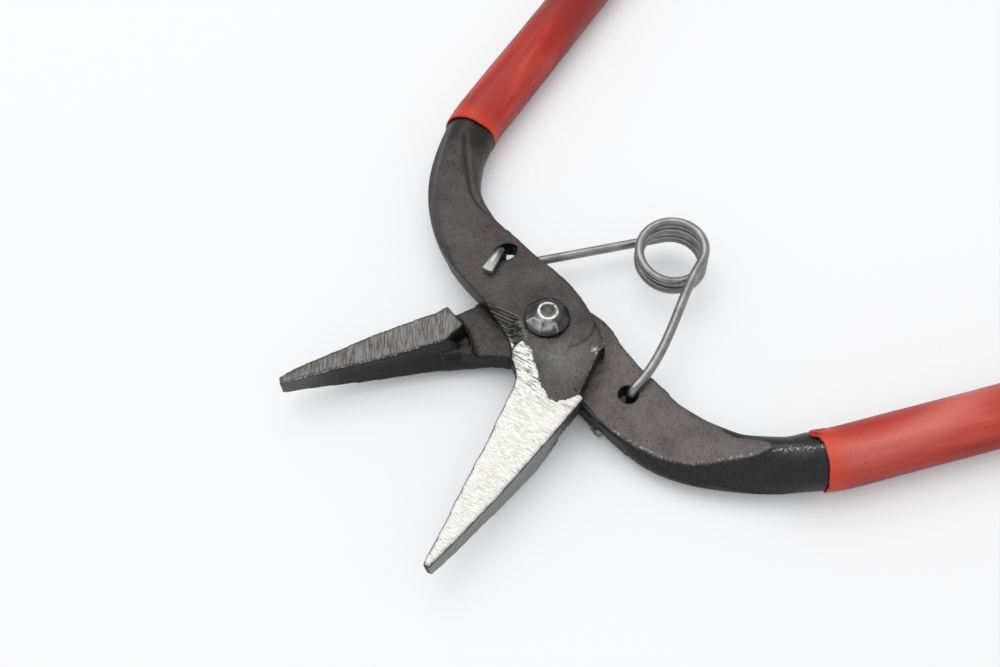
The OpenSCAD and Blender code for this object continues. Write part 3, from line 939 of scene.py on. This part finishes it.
# the facets are hammer flats: degrees round the head, degrees up, and distance from its centre
rivet = {
    "profile": [
        (0, 0), (3.6, 0), (4, 0.4), (4, 1.85), (2.5, 1.85), (2.5, 9.83), (4, 9.83), (4.02, 10.3),
        (3.85, 10.85), (3.35, 11.45), (2.55, 11.95), (1.7, 12.35), (0, 12.8),
    ],
    "facets": [
        (10, 47, 3.62), (75, 42, 3.72), (140, 50, 3.6), (187, 40, 3.62),
        (228, 47, 3.5), (285, 41, 3.7), (330, 38, 3.76),
    ],
    "facetHeight": 9.2,
    "topPlace": (0.15, -0.1, 12.3),
    "topNormal": (0.03, -0.02, 1),
    "ringRadius": 1.62,
    "steps": 64,
    "voxel": 0.11,
    "rounds": 7,
}


def turnedRivet(settings):
    bm = bmesh.new()
    verts = [bm.verts.new((x, 0, z)) for x, z in settings["profile"]]
    edges = [bm.edges.new(pair) for pair in zip(verts, verts[1:])]
    bmesh.ops.spin(
        bm, geom=verts + edges, cent=(0, 0, 0), axis=(0, 0, 1),
        angle=math.tau, steps=settings["steps"], use_merge=True)
    bmesh.ops.remove_doubles(bm, verts=bm.verts, dist=0.0001)
    bmesh.ops.recalc_face_normals(bm, faces=bm.faces)
    return bm


def hammerFlats(bm, settings):
    # one flat on top, and others round the head
    cuts = [(settings["topPlace"], settings["topNormal"])]
    middle = Vector((0, 0, settings["facetHeight"]))
    for turn, rise, reach in settings["facets"]:
        t, e = math.radians(turn), math.radians(rise)
        normal = Vector((math.cos(t) * math.cos(e), math.sin(t) * math.cos(e), math.sin(e)))
        cuts.append((middle + normal * reach, normal))
    for place, normal in cuts:
        everything = bm.verts[:] + bm.edges[:] + bm.faces[:]
        cut = bmesh.ops.bisect_plane(
            bm, geom=everything, plane_co=place, plane_no=normal, clear_outer=True)
        bmesh.ops.edgeloop_fill(bm, edges=edgesOf(cut["geom_cut"]))


def sharpness(vert):
    # above zero on a ridge, below zero in a hollow
    bends = [(vert.co - e.other_vert(vert).co).normalized().dot(vert.normal) for e in vert.link_edges]
    return sum(bends) / max(1, len(bends))


def shapeRivet(settings):
    bm = turnedRivet(settings)
    hammerFlats(bm, settings)
    bm = loaded(remeshed(meshFrom(bm, "rivetRough"), settings["voxel"]))
    smoothed(bm, settings["rounds"])
    for vert in bm.verts:
        if vert.co.z > 10:
            vert.co += vert.normal * (0.07 * grain(vert.co, 1.4, 3) + 0.03 * grain(vert.co, 0.6, 5))
    bm.normal_update()
    values = {"wearAndHighlight": [], "litSideHighlight": [], "darkFoot": []}
    topX, topY, topZ = settings["topPlace"]
    for vert in bm.verts:
        high = eased(vert.co.z, 10.6, 11.2)
        # painted highlight: the side towards the jaws and its ridges are painted bright as if lit, and the
        # other side stays dark
        side = eased(-vert.normal.x - 0.35 * vert.normal.y, 0.25, 0.6) * eased(vert.normal.z, 0.2, 0.5)
        fromTop = math.hypot(vert.co.x - topX, vert.co.y - topY)
        ring = hump(fromTop, settings["ringRadius"], 0.2) * eased(vert.co.z, 11.9, 12.1)
        ridge = eased(sharpness(vert), 0.02, 0.05) * high * max(0.05, side)
        values["wearAndHighlight"].append(max(0.85 * ring, ridge))
        values["litSideHighlight"].append(side * high)
        # nearly black below about 10 mm, at the foot of the head
        values["darkFoot"].append((1 - eased(vert.co.z, 10, 10.5)) * 0.9)
    mesh = finishedMesh(bm, "hammeredRivet", values)
    addPiece("hammeredRivet", mesh, rivetSteel("rivetSteel"), "lower", ["pivot_rivet"])


shapeRivet(rivet)
print("rivet hammered")

# the spring is one wire from tail to tail
spring = {
    "wireRadius": 0.85,
    "upperHook": (3.3, 16.06),
    "lowerHook": (2.25, -19.0),
    "coilPlace": (27.4, -3.2),
    "coilRadius": 5.9,
    "coilTurns": 2,
    "coilPitch": 2.4,
    "coilSteps": 112,
    "coilLift": 0.4,
    "coilTilt": 0.09,
    "bendRadius": 1.3,
    "bendSteps": 8,
    "upperTail": (5.3, -159),
    "lowerTail": (7.8, -183),
    "lowerLeave": -2.7,
    "lowerArrive": 14.8,
    "legHeights": (4.88, 6.8),
    "tailHeights": (10.78, 0.95),
    # two places by the upper leg, which are read but not used
    "blendFrom": (20, 8.6, 5),
    "blendTo": (20, 3.9, 5),
}


def placeRound(centre, turn, radius, height):
    a = math.radians(turn)
    return Vector((centre[0] + radius * math.cos(a), centre[1] + radius * math.sin(a), height))


def bendPoints(hook, turn, height, rise, settings, outwards):
    # a quarter bend between the wire in the hole and a leg or tail
    radius, steps = settings["bendRadius"], settings["bendSteps"]
    points = []
    for i in range(steps + 1):
        b = math.pi / 2 * (1 - i / steps if outwards else i / steps)
        out, up = radius * (1 - math.sin(b)), rise * radius * (1 - math.cos(b))
        points.append(placeRound(hook, turn, out, height + up))
    return points


def coilPoint(settings, turn, height):
    # the coil leans a little towards the lower handle
    coil = settings["coilPlace"]
    point = placeRound(coil, turn, settings["coilRadius"], height + settings["coilLift"])
    point.z += settings["coilTilt"] * (0.46 * (point.x - coil[0]) + 0.89 * (point.y - coil[1]))
    return point


def legTurn(settings, hook, side):
    # the way from a hook to the coil, which the leg meets on one side
    coil = settings["coilPlace"]
    lean = math.asin(settings["coilRadius"] / math.dist(coil, hook))
    return math.degrees(math.atan2(coil[1] - hook[1], coil[0] - hook[0]) + side * lean)


def springyLeg(last, foot, leave, arrive):
    # the lower leg springs off the coil in a slow bend
    reach = foot - last
    a, b = math.radians(leave), math.radians(arrive)
    start = Vector((math.cos(a), math.sin(a), 0)) * reach.length
    end = Vector((-math.cos(b) * reach.length, -math.sin(b) * reach.length, reach.z))
    points = []
    for i in range(1, 32):
        u = i / 32
        near = last * (2 * u ** 3 - 3 * u ** 2 + 1) + start * (u ** 3 - 2 * u ** 2 + u)
        points.append(near + foot * (3 * u ** 2 - 2 * u ** 3) + end * (u ** 3 - u ** 2))
    return points


def springPath(s):
    hookA, hookB = s["upperHook"], s["lowerHook"]
    legA, legB = legTurn(s, hookA, 1), legTurn(s, hookB, -1)
    sweep = legA - legB + 180 + 360 * s["coilTurns"] - s["lowerLeave"]
    rise = s["coilPitch"] * sweep / 360
    lowest = sum(s["legHeights"]) / 2 - rise / 2
    legHeightA, legHeightB = s["legHeights"]
    tailHeightA, tailHeightB = s["tailHeights"]
    tailA, tailTurnA = s["upperTail"]
    tailB, tailTurnB = s["lowerTail"]
    arrive = legB - s["lowerArrive"]
    path = [placeRound(hookA, tailTurnA, tailA, tailHeightA)]
    path += bendPoints(hookA, tailTurnA, tailHeightA, -1, s, False)
    path += bendPoints(hookA, legA, legHeightA, 1, s, True)
    start = coilPoint(s, legA + 90, lowest)
    foot = path[-1]
    path += [foot.lerp(start, i / 24) for i in range(1, 24)]
    for i in range(s["coilSteps"] + 1):
        share = i / s["coilSteps"]
        path.append(coilPoint(s, legA + 90 - sweep * share, lowest + rise * share))
    foot = placeRound(hookB, arrive, s["bendRadius"], legHeightB)
    path += springyLeg(path[-1], foot, legB - 180 + s["lowerLeave"], arrive)
    path += bendPoints(hookB, arrive, legHeightB, -1, s, False)
    path += bendPoints(hookB, tailTurnB, tailHeightB, 1, s, True)
    path.append(placeRound(hookB, tailTurnB, tailB, tailHeightB))
    clean = [path[0]]
    for point in path[1:]:
        if (point - clean[-1]).length > 0.02:
            clean.append(point)
    return clean


def drawnWire(path, radius):
    data = bpy.data.curves.new("wirePath", "CURVE")
    data.dimensions = "3D"
    data.bevel_depth = radius
    data.bevel_resolution = 5
    data.use_fill_caps = True
    line = data.splines.new("POLY")
    line.points.add(len(path) - 1)
    for spot, point in zip(line.points, path):
        spot.co = (*point, 1)
    helper = placed("wirePath", data)
    bm = loaded(evaluatedMesh(helper))
    bmesh.ops.remove_doubles(bm, verts=bm.verts, dist=0.0005)
    bmesh.ops.recalc_face_normals(bm, faces=bm.faces)
    return bm


def nipEnd(vert, end, out):
    # nipped off: flattened and spread at the very end, which shows on the upper tail
    back = (end - vert.co).dot(out)
    if (vert.co - end).length >= 2 or back >= 1.2:
        return None
    side = Vector((-out.y, out.x, 0))
    offset = (vert.co - end).dot(side)
    vert.co += side * offset * 0.3 * (1 - eased(back, 0, 1.2))
    return 1 - eased(back, 0.1, 0.5) if end.z > 5 else 0


def shapeSpring(settings):
    path = springPath(settings)
    bm = drawnWire(path, settings["wireRadius"])
    ends = [(path[0], (path[0] - path[1]).normalized()), (path[-1], (path[-1] - path[-2]).normalized())]
    values = {"cut": [], "grime": []}
    for vert in bm.verts:
        mark = 0
        for end, out in ends:
            nipped = nipEnd(vert, end, out)
            mark = mark if nipped is None else nipped
        values["cut"].append(mark)
        grimy = eased(vert.co.z, 9, 9.8) if vert.co.x < 8 else 0
        values["grime"].append((1 - mark) * grimy)
    mesh = finishedMesh(bm, "springWire", values)
    nodes = ["torsion_spring", "spring_upper_leg"]
    piece = addPiece("springWire", mesh, springWire("springSteel"), None, nodes)
    start, end = Vector(settings["blendFrom"]) * millimetre, Vector(settings["blendTo"]) * millimetre
    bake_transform(piece)


shapeSpring(spring)
print("spring wound")

sleeve = {
    "radius": 5.25,
    "wall": 0.3,
    "segments": 96,
    "straight": 69.75,
    "step": 0.9,
    "domeRings": 14,
    # the torn flap at the lower sleeve's lip, in degrees round the sleeve
    "tearTurn": 52,
    "tearBack": 1.6,
    "tearLift": 0.25,
    "crackEnd": 67,
    "crackSlope": 0.055,
    "crackWidth": 0.28,
    "crackDepth": 0.22,
}


def ringFrame(plan, turn):
    a = math.radians(turn)
    out = Vector((-math.cos(a), math.sin(a), 0))
    ahead = Vector((math.sin(a), math.cos(a), 0))
    place = Vector((plan["bendX"], plan["bendY"], shankHeight)) + out * plan["bendRadius"]
    turned = Matrix((out, (0, 0, 1), ahead)).transposed().to_4x4()
    return Matrix.Translation(place) @ turned, ahead


def grownRing(bm, edges):
    # the next ring of an open tube
    grown = bmesh.ops.extrude_edge_only(bm, edges=edges)["geom"]
    verts = [g for g in grown if isinstance(g, bmesh.types.BMVert)]
    return verts, [e for e in edgesOf(grown) if all(v in verts for v in e.verts)]


def dippedTube(plan, settings, lipTurn):
    radius = settings["radius"]
    bm = bmesh.new()
    start = ringFrame(plan, lipTurn)[0]
    ring = bmesh.ops.create_circle(bm, segments=settings["segments"], radius=radius, matrix=start)
    spun = bmesh.ops.spin(
        bm, geom=ring["verts"] + bm.edges[:], cent=(plan["bendX"], plan["bendY"], shankHeight),
        axis=(0, 0, -1), angle=math.radians(plan["bendTurn"] - lipTurn),
        steps=max(6, round(plan["lipBack"] / settings["step"] * 1.6)))
    edges = edgesOf(spun["geom_last"])
    end, ahead = ringFrame(plan, plan["bendTurn"])
    count = round(settings["straight"] / settings["step"])
    for i in range(count):
        verts, edges = grownRing(bm, edges)
        bmesh.ops.translate(bm, verts=verts, vec=ahead * settings["straight"] / count)
    tip = end.translation + ahead * settings["straight"]
    rings = settings["domeRings"]
    for i in range(1, rings + 1):
        verts, edges = grownRing(bm, edges)
        a0, a1 = math.pi / 2 * (i - 1) / rings, math.pi / 2 * min(i, rings - 0.15) / rings
        bmesh.ops.translate(bm, verts=verts, vec=ahead * radius * (math.sin(a1) - math.sin(a0)))
        middle = Matrix.Translation(-(tip + ahead * radius * math.sin(a1)))
        bmesh.ops.scale(bm, vec=[math.cos(a1) / math.cos(a0)] * 3, verts=verts, space=middle)
    bmesh.ops.edgeloop_fill(bm, edges=edges)
    bmesh.ops.transform(bm, matrix=Matrix.Rotation(strapLean, 4, "Z"), verts=bm.verts)
    if plan["side"] < 0:
        bmesh.ops.transform(bm, matrix=Matrix.Scale(-1, 4, (0, 1, 0)), verts=bm.verts)
    bmesh.ops.recalc_face_normals(bm, faces=bm.faces)
    bmesh.ops.solidify(bm, geom=bm.faces[:], thickness=settings["wall"])
    bmesh.ops.recalc_face_normals(bm, faces=bm.faces)
    bm.normal_update()
    return bm


def shapeSleeve(name, nodeName, body, plan, settings, torn, litBandShare):
    lipTurn = plan["bendTurn"] - plan["lipBack"] / plan["bendRadius"] * 180 / math.pi
    bm = dippedTube(plan, settings, lipTurn)
    values = {"lip": [], "crack": [], "litBand": [], "under": []}
    tearTurn = settings["tearTurn"]
    for vert in bm.verts:
        point = vert.co.copy()
        r, turn = bendPlace(point, plan)
        back = math.radians(turn - lipTurn) * plan["bendRadius"]
        roundPlace = math.degrees(math.atan2(point.z - shankHeight, plan["bendRadius"] - r))
        if back < 3:
            # the dipped edge wanders a little round the shank
            wander = 0.35 * noise.noise(Vector((roundPlace / 40, 3.3 * plan["side"], 0)))
            wander += 0.12 * noise.noise(Vector((roundPlace / 9, 1, 0)))
            if torn:
                wander -= settings["tearBack"] * hump(roundPlace, tearTurn, 18)
            a = math.radians(turn)
            along = Vector((math.sin(a - strapLean), math.cos(a - strapLean) * plan["side"], 0))
            vert.co += along * wander * (1 - eased(back, 0, 3))
        gap = 0
        if torn:
            lift = hump(roundPlace, tearTurn, 16) * (1 - eased(back, 0.2, 2.6))
            vert.co += vert.normal * settings["tearLift"] * lift
            crack = (settings["crackEnd"] - roundPlace) * settings["crackSlope"]
            gap = hump(back, crack, settings["crackWidth"]) * within(roundPlace, 2, 10, 68, 74)
        vert.co += vert.normal * 0.05 * grain(point, 7, 4)
        if gap > 0.05:
            vert.co -= vert.normal * settings["crackDepth"] * gap
        seenPlace = roundPlace if plan["side"] < 0 else 180 - roundPlace
        values["lip"].append(max(0, min(9, back)))
        values["crack"].append(gap)
        # painted light: a pale band along the lit top, and a darker underside
        values["litBand"].append(hump(seenPlace, 104 if plan["side"] > 0 else 114, 30))
        values["under"].append(eased(abs(seenPlace - 100), 50, 90))
    handleTurn = (90 - plan["bendTurn"] + math.degrees(strapLean)) * plan["side"]
    red = dippedRed(name + "Red", handleTurn, litBandShare)
    addPiece(name, finishedMesh(bm, name, values), red, body, [nodeName])


# the lower sleeve gets the stronger painted highlight
shapeSleeve("upperDippedSleeve", "upper_sleeve", "upper", upperPlan, sleeve, False, 0.12)
shapeSleeve("lowerDippedSleeve", "lower_sleeve", "lower", lowerPlan, sleeve, True, 0.62)
print("sleeves dipped")
